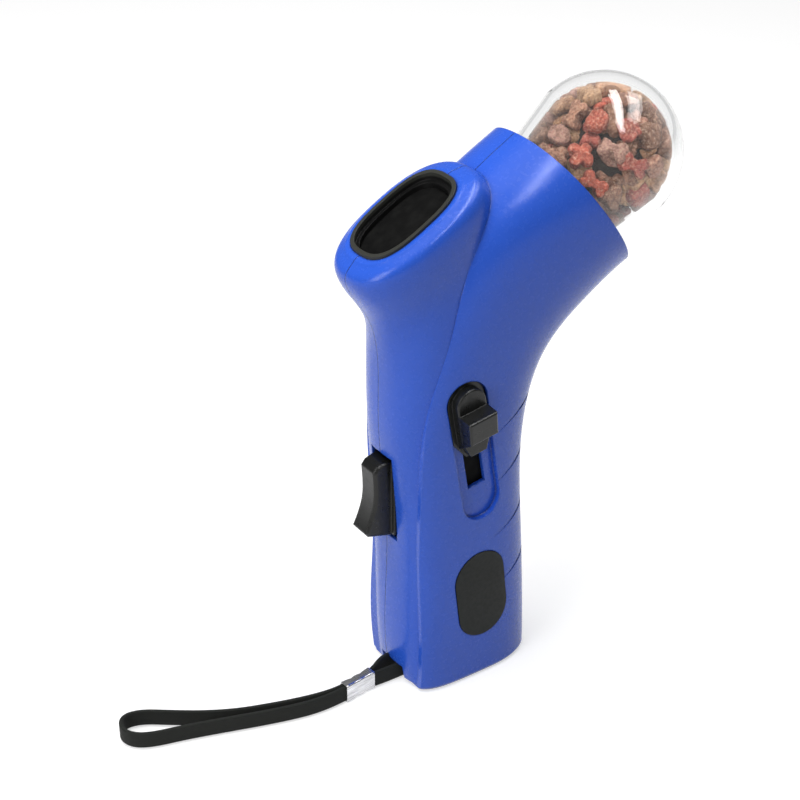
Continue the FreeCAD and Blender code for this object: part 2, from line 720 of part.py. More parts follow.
def route_corners(points):
    # tangent points and centre of the arc at each inner point of a route
    corners = []
    for i in range(1, len(points) - 1):
        a = points[i - 1]
        b = points[i]
        c = points[i + 1]
        before = (b - a)
        after = (c - b)
        turn = before.getAngle(after)
        cut_back = 0.45 * min(before.Length, after.Length)
        radius = cut_back / math.tan(turn / 2)
        before.normalize()
        after.normalize()
        start = b - before * cut_back
        end = b + after * cut_back
        side = 1.0 if before.cross(after).z > 0 else -1.0
        left = V(-before.y, before.x, 0)
        middle = start + left * (side * radius)
        corners.append((start, end, middle, radius, side))
    return corners


def webbing(points):
    # flat strap standing on its edge along a route on the floor
    corners = route_corners(points)
    print("strap radii", [round(corner[3], 1) for corner in corners])
    half = strap_thickness / 2

    def offset_line(sign):
        edges = []
        first = (points[1] - points[0]).normalize()
        here = points[0] + V(-first.y, first.x, 0) * (sign * half)
        for start, end, middle, radius, side in corners:
            size = radius - side * sign * half
            a = middle + (start - middle).normalize() * size
            b = middle + (end - middle).normalize() * size
            bow = middle + ((start - middle).normalize() + (end - middle).normalize()).normalize() * size
            edges.append(Part.makeLine(here, a))
            edges.append(Part.Arc(a, bow, b).toShape())
            here = b
        last = (points[-1] - points[-2]).normalize()
        end_point = points[-1] + V(-last.y, last.x, 0) * (sign * half)
        edges.append(Part.makeLine(here, end_point))
        return edges, points[0] + V(-first.y, first.x, 0) * (sign * half), end_point

    left, left_start, left_end = offset_line(1)
    right, right_start, right_end = offset_line(-1)
    edges = left + [Part.makeLine(left_end, right_end)] + right + [Part.makeLine(left_start, right_start)]
    wire = Part.Wire(Part.__sortEdges__(edges))
    solid = Part.Face(wire).extrude(V(0, 0, strap_width))
    solid.translate(V(0, 0, strap_lift))
    return solid


def in_ferrule(depth, side):
    # middle of one of the two straps that lie side by side in the ferrule
    along = (ferrule_end - ferrule_start).normalize()
    across = V(-along.y, along.x, 0)
    return ferrule_start + along * depth + across * (side * (strap_thickness / 2 + ferrule_slack / 2))


def build_ferrule():
    along = ferrule_end - ferrule_start
    length = along.Length
    half = strap_thickness + 1.5 * ferrule_slack + ferrule_wall
    tall = strap_width + 2 * ferrule_wall + 0.2
    body = box(0, length, -half, half, 0, tall)
    body = body.makeFillet(0.6, [e for e in body.Edges if e.CenterOfMass.x > 0.1
                                 and e.CenterOfMass.x < length - 0.1])
    hole = box(-1, length + 1, -half + ferrule_wall, half - ferrule_wall, ferrule_wall,
               tall - ferrule_wall)
    body = body.cut(hole)
    turn = math.degrees(math.atan2(along.y, along.x))
    body.Placement = FreeCAD.Placement(V(ferrule_start.x, ferrule_start.y, 0),
                                       FreeCAD.Rotation(V(0, 0, 1), turn))
    return body


def build_screws():
    screws = []
    for place in screw_places:
        shank = side_cylinder(screw_radius, place, -screw_reach, head_seat + 0.5)
        head = side_cylinder(head_radius, place, head_seat + 0.02, head_seat + head_height)
        screws.append(shank.fuse(head))
    return Part.makeCompound(screws)


# Sizes that follow from the ones above
lip_length = mouth_length * math.cos(math.radians(mouth_lean - launch_lean))
spring_top = -9.3
rod_top = -5.2
stem_bottom = knob_screw_height - 2.6
slot_bottom = stem_bottom - travel - slot_spare
opening_bottom = 57.8
opening_top = 90.3
hook_thickness = 1.3
pin_reach = 13.0
rib_x = -14.8
spring_start = -25.2
spring_height = 66.0

# Strap routes on the floor, chosen by hand
hitch_route = [in_ferrule(6.0, -1), in_ferrule(-0.8, -1), V(-31.0, -2.3, 0), V(-23.5, -0.2, 0),
               V(-17.2, 0.9, 0), V(-13.7, -0.8, 0), V(-13.7, -4.2, 0), V(-17.2, -5.9, 0),
               V(-23.5, -5.7, 0), V(-31.0, -5.3, 0), in_ferrule(-0.8, 1), in_ferrule(6.0, 1)]
loop_route = [in_ferrule(6.6, 1), in_ferrule(14.0, 1), V(-59.5, -6.8, 0), V(-67.6, -5.2, 0),
              V(-78.0, -2.2, 0), V(-90.0, 1.8, 0), V(-103.0, 6.0, 0), V(-114.5, 8.9, 0),
              V(-120.0, 12.6, 0), V(-121.4, 18.2, 0), V(-118.2, 22.6, 0), V(-112.0, 21.6, 0),
              V(-104.0, 15.6, 0), V(-95.0, 9.2, 0), V(-85.0, 3.8, 0), V(-75.0, 0.2, 0),
              V(-65.9, -2.6, 0), V(-57.5, -4.6, 0), in_ferrule(14.0, -1), in_ferrule(6.6, -1)]


def main():
    outer, shell = build_housing()
    save(build_half(-1, outer, shell), "housing_right")
    save(build_half(1, outer, shell), "housing_left")
    save(build_barrel(), "launch_barrel")
    save(build_plate(), "launch_plate")
    rod = Part.makeCylinder(rod_radius, rod_top - rod_end, V(0, 0, rod_end))
    save(on_launch_axis(rod), "plunger_rod")
    save(build_carriage(), "slider_carriage")
    save(build_knob(), "slider_knob")
    save(build_knob_screw(), "knob_screw")
    spring = coil(coil_radius, wire_radius, coil_turns, spring_top - barrel_floor - 2 * seat)
    spring.translate(V(0, 0, barrel_floor + seat))
    save(on_launch_axis(spring), "launch_spring")
    bumper_low = carriage_top + 0.15
    bumper = Part.makeCylinder(5.2, barrel_floor - floor_thickness - seat - bumper_low,
                               V(0, 0, bumper_low))
    bumper = bumper.cut(Part.makeCylinder(rod_radius + gap, 20, V(0, 0, bumper_low - 5)))
    save(on_launch_axis(bumper), "stop_bumper")
    save(build_trigger(), "trigger")
    save(side_cylinder(pin_radius, (pivot.x, pivot.z), -pin_reach + 0.2, pin_reach - 0.2), "trigger_pin")
    save(build_trigger_spring(), "trigger_spring")
    save(build_socket(), "hopper_socket")
    save(build_chute(), "feed_chute")
    save(build_jar(), "hopper_jar")
    seal = build_seal()
    save(on_jar_axis(seal), "jar_seal")
    save(build_treats(), "treat_load")
    save(build_pad(-1), "pad_right")
    save(build_pad(1), "pad_left")
    save(cylinder(post_radius, post_middle + V(0, 0, 0.4), post_middle + V(0, 0, pocket_height + 3.8)),
         "strap_post")
    save(build_ferrule(), "strap_ferrule")
    save(webbing(hitch_route), "strap_hitch")
    save(webbing(loop_route), "wrist_loop")
    save(build_screws(), "housing_screws")


main()
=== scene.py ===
import logging
import math
import random
from dataclasses import dataclass, field
from enum import Enum
from typing import Any

import bpy
from mathutils import Matrix, Vector, noise


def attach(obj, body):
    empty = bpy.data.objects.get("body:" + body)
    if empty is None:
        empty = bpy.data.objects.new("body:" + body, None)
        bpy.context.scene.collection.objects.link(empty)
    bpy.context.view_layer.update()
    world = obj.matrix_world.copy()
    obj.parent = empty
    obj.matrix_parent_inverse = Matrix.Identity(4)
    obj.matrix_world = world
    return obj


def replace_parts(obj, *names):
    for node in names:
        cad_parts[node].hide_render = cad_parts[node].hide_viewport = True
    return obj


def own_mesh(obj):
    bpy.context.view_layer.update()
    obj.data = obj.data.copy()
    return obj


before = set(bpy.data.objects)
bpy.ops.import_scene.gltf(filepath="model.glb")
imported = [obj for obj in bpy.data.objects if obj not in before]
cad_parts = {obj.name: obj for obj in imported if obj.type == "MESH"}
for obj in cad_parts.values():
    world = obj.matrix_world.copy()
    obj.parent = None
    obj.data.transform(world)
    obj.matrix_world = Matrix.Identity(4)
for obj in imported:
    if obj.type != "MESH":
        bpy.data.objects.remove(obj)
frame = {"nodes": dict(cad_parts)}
log = logging.getLogger("treat_dispenser")
MM = 0.001


class Body(Enum):
    """The bodies that the added pieces ride on."""

    HOUSING = "housing"
    JAR = "jar"


class TreatShape(Enum):
    """Cutter outlines of the treats, each a set of discs (x, y, radius) in millimetres."""

    BONE = ((-3.3, 1.6, 1.9), (-3.3, -1.6, 1.9), (3.3, 1.6, 1.9), (3.3, -1.6, 1.9),
            (0.0, 0.0, 2.0), (-1.7, 0.0, 2.0), (1.7, 0.0, 2.0))
    CROSS = ((3.0, 0.0, 1.9), (-3.0, 0.0, 1.9), (0.0, 3.0, 1.9), (0.0, -3.0, 1.9), (0.0, 0.0, 2.6))
    HEART = ((-1.9, 1.5, 2.4), (1.9, 1.5, 2.4), (0.0, 0.2, 2.9), (0.0, -1.6, 2.0), (0.0, -3.2, 1.1))
    STAR = ((3.2, 0.0, 1.3), (1.0, 3.0, 1.3), (-2.6, 1.9, 1.3), (-2.6, -1.9, 1.3), (1.0, -3.0, 1.3),
            (0.0, 0.0, 2.9))
    LUMP = ((0.6, 0.3, 3.6), (-0.9, -0.5, 3.4))


def spun(origin: Vector, lean: float) -> Matrix:
    """Frame whose z axis leans in the side view.

    Args:
        origin: The frame's origin, in metres.
        lean: Degrees from upright, towards the jar.

    Returns:
        The matrix that takes a point of that frame to the part's frame.
    """
    return Matrix.Translation(origin) @ Matrix.Rotation(math.radians(lean), 4, "Y")


LAUNCH = spun(Vector((-20.0, 0.0, 171.9)) * MM, -10.0)
JAR = spun(Vector((41.9, 0.0, 164.8)) * MM, 57.0)


class Graph:
    """A material's node graph, with short calls to add and join its nodes."""

    def __init__(self, name: str) -> None:
        """Starts a new material with a Principled shader.

        Args:
            name: The material's name.
        """
        self.material = bpy.data.materials.new(name)
        self.material.use_nodes = True
        self.tree = self.material.node_tree
        self.shader = self.tree.nodes["Principled BSDF"]

    def add(self, kind: str, inputs: dict[str | int, Any] | None = None, **settings: Any) -> Any:
        """Adds one node.

        Args:
            kind: The node's type, without its ShaderNode prefix.
            inputs: Values or sockets for its inputs.
            settings: Properties of the node itself.

        Returns:
            The new node.
        """
        node = self.tree.nodes.new("ShaderNode" + kind)
        for key, value in settings.items():
            setattr(node, key, value)
        for key, value in (inputs or {}).items():
            self.feed(node.inputs[key], value)
        return node

    def feed(self, socket: Any, value: Any) -> None:
        """Links a socket, or sets its value.

        Args:
            socket: The input to feed.
            value: Another node's output, or a plain value.
        """
        if isinstance(value, bpy.types.NodeSocket):
            self.tree.links.new(value, socket)
        else:
            socket.default_value = value

    def place(self) -> Any:
        """Returns the point on the piece, in metres of the part's frame."""
        return self.add("TexCoord").outputs["Object"]

    def speckle(self, scale: float, detail: float = 3.0, where: Any = None) -> Any:
        """Noise over the surface.

        Args:
            scale: Grains per metre.
            detail: Octaves of finer noise.
            where: Socket of the point to read it at.

        Returns:
            The noise's value socket.
        """
        inputs = {"Vector": where or self.place(), "Scale": scale, "Detail": detail}
        return self.add("TexNoise", inputs).outputs["Fac"]

    def spread(self, value: Any, low: float, high: float, start: float = 0.3, end: float = 0.7) -> Any:
        """Maps a value from one range to another.

        Args:
            value: The socket to map.
            low: Result at start.
            high: Result at end.
            start: Value that gives low.
            end: Value that gives high.

        Returns:
            The mapped socket.
        """
        inputs = {0: value, 1: start, 2: end, 3: low, 4: high}
        return self.add("MapRange", inputs, clamp=True).outputs[0]

    def sum(self, kind: str, a: Any, b: Any = 0.0) -> Any:
        """Result of one arithmetic node.

        Args:
            kind: The operation.
            a: First value or socket.
            b: Second value or socket.

        Returns:
            The result's socket.
        """
        return self.add("Math", {0: a, 1: b}, operation=kind).outputs[0]

    def blend(self, share: Any, a: Any, b: Any, how: str = "MIX") -> Any:
        """Mixes two colours.

        Args:
            share: How much of the second colour.
            a: First colour or socket.
            b: Second colour or socket.
            how: The blend type.

        Returns:
            The mixed colour's socket.
        """
        node = self.add("Mix", data_type="RGBA", blend_type=how)
        for socket, value in ((node.inputs[0], share), (node.inputs[6], a), (node.inputs[7], b)):
            self.feed(socket, value)
        return node.outputs[2]

    def bump(self, height: Any, strength: float, depth: float, normal: Any = None) -> Any:
        """Raises the surface by a height.

        Args:
            height: The height's socket.
            strength: Share of the effect.
            depth: Height in metres.
            normal: Normal to start from.

        Returns:
            The new normal's socket.
        """
        node = self.add("Bump", {"Height": height, "Strength": strength, "Distance": depth})
        if normal is not None:
            self.feed(node.inputs["Normal"], normal)
        return node.outputs["Normal"]

    def soft_edges(self, radius: float) -> Any:
        """Normal that rounds the edges of a moulding.

        Args:
            radius: Edge radius in metres.

        Returns:
            The normal's socket.
        """
        return self.add("Bevel", {"Radius": radius}, samples=6).outputs["Normal"]

    def finish(self, **inputs: Any) -> bpy.types.Material:
        """Sets the shader's sockets.

        Args:
            inputs: Socket names, with spaces as underscores, and their values.

        Returns:
            The finished material.
        """
        for key, value in inputs.items():
            self.feed(self.shader.inputs[key.replace("_", " ")], value)
        return self.material


def rgb(red: float, green: float, blue: float) -> tuple[float, float, float, float]:
    """Returns a linear colour as the shader's sockets take it."""
    return (red, green, blue, 1.0)


@dataclass(frozen=True)
class Finish:
    """A surface finish. Its material is made once and shared by every piece that has it."""

    name: str

    def make(self) -> bpy.types.Material:
        """Returns a newly built material; each finish builds its own."""
        raise NotImplementedError

    def material(self) -> bpy.types.Material:
        """Returns this finish's material, built at its first use."""
        return bpy.data.materials.get(self.name) or self.make()


@dataclass(frozen=True)
class GlossShell(Finish):
    """Glossy coloured moulding, with the fine line where the two halves meet, and painted shade that
    darkens its creases and recesses.
    """

    colour: tuple[float, float, float] = (0.021, 0.092, 0.55)
    edge: float = 0.7 * MM
    line: float = 0.13 * MM
    index: float = 1.42
    # Reach of the painted shade in creases and recesses.
    crease_shade: float = 1.1 * MM

    def make(self) -> bpy.types.Material:
        """Builds the material.

        Returns:
            The shell's material.
        """
        graph = Graph(self.name)
        where = graph.place()
        cloud = graph.spread(graph.speckle(35.0, 2.0, where), 0.0, 0.22)
        shell = graph.blend(cloud, rgb(*self.colour), rgb(*(c * 0.8 for c in self.colour)))
        across = graph.add("SeparateXYZ", {0: where}).outputs["Y"]
        joint = graph.spread(graph.sum("ABSOLUTE", across), 1.0, 0.0, 0.4 * self.line, self.line)
        shell = graph.blend(joint, shell, rgb(0.006, 0.012, 0.06))
        # Painted shade: ambient occlusion darkens the blue to a deep blue in creases, recesses and the
        # step at the seam.
        crease_shade = graph.add("AmbientOcclusion", {"Distance": self.crease_shade}, samples=4).outputs["AO"]
        shell = graph.blend(graph.spread(crease_shade, 0.75, 0.0, 0.5, 0.85), shell, rgb(0.010, 0.022, 0.13))
        rough = graph.spread(graph.speckle(700.0, 3.0, where), 0.20, 0.30)
        grain = graph.bump(graph.speckle(1500.0, 2.0, where), 0.05, 0.05 * MM,
                           graph.soft_edges(self.edge))
        normal = graph.bump(graph.sum("SUBTRACT", 1.0, joint), 0.6, 0.15 * MM, grain)
        return graph.finish(Base_Color=shell, Roughness=rough, Normal=normal, IOR=self.index)


@dataclass(frozen=True)
class BlackMoulding(Finish):
    """Black moulded plastic with a satin gloss."""

    colour: tuple[float, float, float] = (0.007, 0.0075, 0.007)
    rough: float = 0.30
    edge: float = 0.4 * MM
    index: float = 1.40

    def make(self) -> bpy.types.Material:
        """Builds the material.

        Returns:
            The moulding's material.
        """
        graph = Graph(self.name)
        where = graph.place()
        dust = graph.spread(graph.speckle(260.0, 4.0, where), 0.0, 0.35, 0.45, 0.75)
        tone = graph.blend(dust, rgb(*self.colour), rgb(0.014, 0.014, 0.013))
        rough = graph.spread(graph.speckle(500.0, 3.0, where), self.rough - 0.05, self.rough + 0.08)
        normal = graph.bump(graph.speckle(4200.0, 2.0, where), 0.12, 0.05 * MM,
                            graph.soft_edges(self.edge))
        return graph.finish(Base_Color=tone, Roughness=rough, Normal=normal, IOR=self.index)


@dataclass(frozen=True)
class LipMoulding(Finish):
    """Black barrel whose lip is painted a dull grey round the mouth, a painted highlight for the light
    caught on the rounded lip.
    """

    # Painted highlight colour of the lip.
    painted_lip_highlight: tuple[float, float, float] = (0.030, 0.031, 0.027)
    black: tuple[float, float, float] = (0.004, 0.004, 0.004)
    mouth: tuple[float, float, float] = (-0.020, 0.0, 0.1719)
    facing: tuple[float, float, float] = (-0.503, 0.0, 0.8643)

    def make(self) -> bpy.types.Material:
        """Builds the material.

        Returns:
            The barrel's material.
        """
        graph = Graph(self.name)
        where = graph.place()
        off = graph.add("VectorMath", {0: where, 1: self.mouth}, operation="SUBTRACT").outputs[0]
        over = graph.add("VectorMath", {0: off, 1: self.facing}, operation="DOT_PRODUCT").outputs["Value"]
        # Painted highlight: the lip round the mouth is painted dull grey for the light it catches.
        lip = graph.spread(over, 0.0, 1.0, -0.5 * MM, -0.1 * MM)
        tone = graph.blend(lip, rgb(*self.black), rgb(*self.painted_lip_highlight))
        rough = graph.spread(graph.speckle(500.0, 3.0, where), 0.34, 0.46)
        normal = graph.bump(graph.speckle(4200.0, 2.0, where), 0.12, 0.05 * MM,
                            graph.soft_edges(0.35 * MM))
        return graph.finish(Base_Color=tone, Roughness=rough, Normal=normal, IOR=1.33)


@dataclass(frozen=True)
class Rubber(Finish):
    """Soft black rubber with a fine grain and a faint bloom."""

    colour: tuple[float, float, float] = (0.006, 0.0075, 0.0065)
    rough: float = 0.5

    def make(self) -> bpy.types.Material:
        """Builds the material.

        Returns:
            The rubber's material.
        """
        graph = Graph(self.name)
        where = graph.place()
        bloom = graph.spread(graph.speckle(120.0, 4.0, where), 0.0, 0.5)
        tone = graph.blend(bloom, rgb(*self.colour), rgb(0.012, 0.014, 0.013))
        rough = graph.spread(graph.speckle(800.0, 2.0, where), self.rough - 0.06, self.rough + 0.1)
        normal = graph.bump(graph.speckle(3500.0, 3.0, where), 0.25, 0.08 * MM,
                            graph.soft_edges(0.3 * MM))
        return graph.finish(Base_Color=tone, Roughness=rough, Normal=normal, IOR=1.30)


@dataclass(frozen=True)
class InnerPlastic(Finish):
    """Matte inner moulding, pale or coloured."""

    colour: tuple[float, float, float] = (0.62, 0.63, 0.65)

    def make(self) -> bpy.types.Material:
        """Builds the material.

        Returns:
            The inner moulding's material.
        """
        graph = Graph(self.name)
        where = graph.place()
        smear = graph.spread(graph.speckle(90.0, 4.0, where), 0.0, 0.4)
        tone = graph.blend(smear, rgb(*self.colour), rgb(*(c * 0.82 for c in self.colour)))
        rough = graph.spread(graph.speckle(600.0, 2.0, where), 0.42, 0.58)
        normal = graph.bump(graph.speckle(2600.0, 2.0, where), 0.12, 0.05 * MM,
                            graph.soft_edges(0.3 * MM))
        return graph.finish(Base_Color=tone, Roughness=rough, Normal=normal)


@dataclass(frozen=True)
class Steel(Finish):
    """Drawn or plated steel, with fine streaks."""

    colour: tuple[float, float, float] = (0.56, 0.56, 0.57)
    rough: float = 0.28

    def make(self) -> bpy.types.Material:
        """Builds the material.

        Returns:
            The steel's material.
        """
        graph = Graph(self.name)
        where = graph.place()
        stain = graph.spread(graph.speckle(300.0, 4.0, where), 0.0, 0.3)
        tone = graph.blend(stain, rgb(*self.colour), rgb(0.38, 0.37, 0.36))
        rough = graph.spread(graph.speckle(1800.0, 3.0, where), self.rough - 0.08, self.rough + 0.1)
        normal = graph.bump(graph.speckle(5200.0, 2.0, where), 0.1, 0.03 * MM)
        return graph.finish(Base_Color=tone, Metallic=1.0, Roughness=rough, Normal=normal)


@dataclass(frozen=True)
class CrimpMetal(Finish):
    """Bright pressed metal, streaked along its length."""

    streak: float = 0.06

    def make(self) -> bpy.types.Material:
        """Builds the material.

        Returns:
            The crimp's material.
        """
        graph = Graph(self.name)
        uv = graph.add("TexCoord").outputs["UV"]
        long = graph.add("Mapping", {"Vector": uv, "Scale": (self.streak, 1.0, 1.0)}).outputs[0]
        streaks = graph.speckle(2.2, 4.0, long)
        tone = graph.blend(graph.spread(streaks, 0.0, 1.0), rgb(0.82, 0.82, 0.83),
                           rgb(0.42, 0.42, 0.43))
        rough = graph.spread(streaks, 0.16, 0.34)
        scratches = graph.bump(graph.speckle(5.0, 3.0, long), 0.25, 0.08 * MM)
        return graph.finish(Base_Color=tone, Metallic=1.0, Roughness=rough, Normal=scratches)


@dataclass(frozen=True)
class ClearPlastic(Finish):
    """Clear polished moulding that lets the light through to what it holds."""

    index: float = 1.47
    shade: float = 0.22

    def make(self) -> bpy.types.Material:
        """Builds the material.

        Returns:
            The clear plastic's material.
        """
        graph = Graph(self.name)
        where = graph.place()
        haze = graph.spread(graph.speckle(160.0, 3.0, where), 0.0, 0.02)
        shadow = graph.add("LightPath").outputs["Is Shadow Ray"]
        solid = graph.sum("SUBTRACT", 1.0, graph.sum("MULTIPLY", shadow, 1.0 - self.shade))
        return graph.finish(Base_Color=rgb(0.985, 0.99, 0.99), Roughness=haze, IOR=self.index,
                            Transmission_Weight=1.0, Alpha=solid)


@dataclass(frozen=True)
class Webbing(Finish):
    """Close woven flat webbing. Its UVs run in millimetres, along and across."""

    colour: tuple[float, float, float] = (0.008, 0.009, 0.008)
    thread: float = 0.55

    def make(self) -> bpy.types.Material:
        """Builds the material.

        Returns:
            The webbing's material.
        """
        graph = Graph(self.name)
        uv = graph.add("TexCoord").outputs["UV"]
        split = graph.add("SeparateXYZ", {0: uv})
        turn = 2.0 * math.pi / self.thread
        along = graph.sum("SINE", graph.sum("MULTIPLY", split.outputs["X"], turn))
        across = graph.sum("SINE", graph.sum("MULTIPLY", split.outputs["Y"], turn * 0.8))
        weave = graph.spread(graph.sum("MULTIPLY", along, across), 0.0, 1.0, -1.0, 1.0)
        fuzz = graph.speckle(9.0, 4.0, uv)
        tone = graph.blend(graph.spread(weave, 0.0, 0.8, 0.2, 0.9), rgb(*self.colour),
                           rgb(0.024, 0.026, 0.023))
        tone = graph.blend(graph.spread(fuzz, 0.0, 0.45), tone, rgb(0.015, 0.016, 0.014))
        normal = graph.bump(weave, 0.7, 0.12 * MM)
        normal = graph.bump(fuzz, 0.35, 0.05 * MM, normal)
        return graph.finish(Base_Color=tone, Roughness=0.82, Normal=normal, IOR=1.3,
                            Sheen_Weight=0.04, Sheen_Roughness=0.5)


@dataclass(frozen=True)
class Biscuit(Finish):
    """Dry crumbly biscuit in the tone that each treat carries."""

    def make(self) -> bpy.types.Material:
        """Builds the material.

        Returns:
            The biscuit's material.
        """
        graph = Graph(self.name)
        where = graph.place()
        own = graph.add("VertexColor", layer_name="tone").outputs["Color"]
        crumbs = graph.speckle(430.0, 5.0, where)
        grains = graph.speckle(1300.0, 3.0, where)
        tone = graph.blend(graph.spread(crumbs, 0.75, 0.0, 0.36, 0.56), own, rgb(0.45, 0.36, 0.30),
                           "MULTIPLY")
        tone = graph.blend(graph.spread(grains, 0.0, 0.55, 0.5, 0.72), tone, rgb(0.52, 0.38, 0.27))
        tone = graph.blend(graph.spread(grains, 0.6, 0.0, 0.3, 0.46), tone, rgb(0.06, 0.028, 0.016))
        normal = graph.bump(crumbs, 1.0, 0.9 * MM)
        normal = graph.bump(grains, 0.8, 0.35 * MM, normal)
        return graph.finish(Base_Color=tone, Roughness=0.88, Normal=normal)


@dataclass(frozen=True)
class Shade(Finish):
    """Painted shade: a dark lumpy sheet behind the treats, standing in for the shadow in the gaps between
    them.
    """

    def make(self) -> bpy.types.Material:
        """Builds the material.

        Returns:
            The filling's material.
        """
        graph = Graph(self.name)
        where = graph.place()
        # Painted shade: near-black tones for the shadow between the treats.
        tone = graph.blend(graph.speckle(300.0, 4.0, where), rgb(0.006, 0.005, 0.004),
                           rgb(0.028, 0.015, 0.009))
        normal = graph.bump(graph.speckle(500.0, 4.0, where), 0.8, 0.6 * MM)
        return graph.finish(Base_Color=tone, Roughness=0.95, Normal=normal)


BLUE = GlossShell("blue_shell_gloss")
BLACK = BlackMoulding("black_moulding")
LIP = LipMoulding("black_lip")
BUTTON = BlackMoulding("black_button", edge=1.1 * MM)
DARK = BlackMoulding("black_inside", (0.0025, 0.0025, 0.0025), 0.75, index=1.2)
RUBBER = Rubber("grip_rubber")
PALE = InnerPlastic("inner_moulding")
PLATED = Steel("plated_steel")
WIRE = Steel("drawn_wire", (0.42, 0.42, 0.44), 0.22)
CRIMP = CrimpMetal("pressed_crimp")
CLEAR = ClearPlastic("clear_jar")
WEAVE = Webbing("woven_webbing")
TREAT = Biscuit("dry_biscuit")
PAINTED_SHADE_FILL = Shade("painted_shade_behind_treats")


def dress(node: str, finish: Finish) -> None:
    """Gives a CAD node its finish.

    Args:
        node: The node's name.
        finish: The finish for all of its faces.
    """
    obj = frame["nodes"][node]
    if not obj.material_slots:
        obj.data.materials.append(finish.material())
    for place in obj.material_slots:
        place.material = finish.material()
    log.info("dressed %s in %s", node, finish.name)


def add_mesh(name: str, points: list[Vector], faces: list[tuple[int, ...]], finish: Finish, body: Body) -> bpy.types.Object:
    """Adds a smooth mesh piece that rides on a body.

    Args:
        name: The piece's name.
        points: Its points, in metres of the part's frame.
        faces: Its faces, as point numbers.
        finish: Its finish.
        body: The body that it rides on.

    Returns:
        The new piece.
    """
    mesh = bpy.data.meshes.new(name)
    mesh.from_pydata(points, [], faces)
    mesh.update()
    mesh.validate()
    obj = bpy.data.objects.new(name, mesh)
    bpy.context.scene.collection.objects.link(obj)
    mesh.materials.append(finish.material())
    mesh.shade_smooth()
    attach(obj, body.value)
    log.info("built %s with %d faces", name, len(faces))
    return obj


def smooth_line(route: list[tuple[float, float, float]], steps: int = 10) -> list[Vector]:
    """Points read from the NURBS spline that has a route as its control points.

    Args:
        route: The route's points, in millimetres.
        steps: Points per span.

    Returns:
        The line's points, in metres.
    """
    curve = bpy.data.curves.new("route", "CURVE")
    curve.dimensions = "3D"
    spline = curve.splines.new("NURBS")
    spline.points.add(len(route) - 1)
    for place, point in zip(spline.points, route):
        place.co = (*(c * MM for c in point), 1.0)
    spline.order_u = 3
    spline.use_endpoint_u = True
    spline.resolution_u = steps
    guide = bpy.data.objects.new("route", curve)
    bpy.context.scene.collection.objects.link(guide)
    mesh = bpy.data.meshes.new_from_object(guide)
    line = [vertex.co.copy() for vertex in mesh.vertices]
    bpy.data.objects.remove(guide)
    bpy.data.meshes.remove(mesh)
    bpy.data.curves.remove(curve)
    return line


def rounded_section(half_width: float, half_height: float, corner: float, steps: int = 4) -> list[Vector]:
    """Closed rounded rectangle.

    Args:
        half_width: Half size across.
        half_height: Half size up.
        corner: Corner radius.
        steps: Spans per corner.

    Returns:
        Its points, as (across, up, 0).
    """
    points = []
    for quarter in range(4):
        middle = Vector((half_width - corner, half_height - corner, 0.0))
        middle.x *= 1 if quarter in (0, 3) else -1
        middle.y *= 1 if quarter in (0, 1) else -1
        for i in range(steps + 1):
            turn = math.pi / 2 * (quarter + i / steps)
            points.append(middle + Vector((math.cos(turn), math.sin(turn), 0.0)) * corner)
    return points


@dataclass
class Strip:
    """A section swept along a line, with UVs in millimetres."""

    line: list[Vector]
    section: list[Vector]
    up: Vector = field(default_factory=lambda: Vector((0.0, 0.0, 1.0)))

    def frames(self) -> list[tuple[Vector, Vector, Vector]]:
        """Finds how the section stands along the line.

        Returns:
            Each point of the line with its side and up directions.
        """
        result = []
        last = len(self.line) - 1
        for i, point in enumerate(self.line):
            tangent = (self.line[min(i + 1, last)] - self.line[max(i - 1, 0)]).normalized()
            side = tangent.cross(self.up).normalized()
            result.append((point, side, side.cross(tangent)))
        return result

    def build(self, name: str, finish: Finish, body: Body, slot: str) -> bpy.types.Object:
        """Builds the swept piece.

        Args:
            name: The piece's name.
            finish: Its finish.
            body: The body that it rides on.
            slot: Not used.

        Returns:
            The new piece.
        """
        count = len(self.section)
        points = [middle + side * s.x + up * s.y for middle, side, up in self.frames()
                  for s in self.section]
        rings = len(self.line)
        faces = [tuple(range(count))[::-1]]
        for i in range(rings - 1):
            for j in range(count):
                k = (j + 1) % count
                faces.append((i * count + j, i * count + k, (i + 1) * count + k, (i + 1) * count + j))
        faces.append(tuple(range((rings - 1) * count, rings * count)))
        obj = add_mesh(name, points, faces, finish, body)
        self.unwrap(obj)
        return obj

    def unwrap(self, obj: bpy.types.Object) -> None:
        """Lays the UVs out along the line and round the section.

        Args:
            obj: The swept piece.
        """
        count = len(self.section)
        along = [0.0]
        for a, b in zip(self.line, self.line[1:]):
            along.append(along[-1] + (b - a).length / MM)
        around = [0.0]
        for a, b in zip(self.section, self.section[1:] + self.section[:1]):
            around.append(around[-1] + (b - a).length / MM)
        layer = obj.data.uv_layers.new(name="strip")
        for face in obj.data.polygons:
            columns = [obj.data.loops[i].vertex_index % count for i in face.loop_indices]
            wraps = len(columns) == 4 and max(columns) == count - 1 and min(columns) == 0
            for i, column in zip(face.loop_indices, columns):
                row = obj.data.loops[i].vertex_index // count
                place = around[count] if wraps and column == 0 else around[column]
                layer.data[i].uv = (along[row], place)


@dataclass
class Housing:
    """Blue halves with their grip inlays and screws."""

    halves: tuple[str, ...] = ("housing_right", "housing_left", "hopper_socket")
    inlays: tuple[str, ...] = ("pad_right", "pad_left", "stop_bumper", "jar_seal")

    def build(self) -> None:
        """Dresses the halves, the inlays and the fasteners."""
        for node in self.halves:
            dress(node, BLUE)
        for node in self.inlays:
            dress(node, RUBBER)
        for node in ("housing_screws", "strap_post", "trigger_pin"):
            dress(node, PLATED)


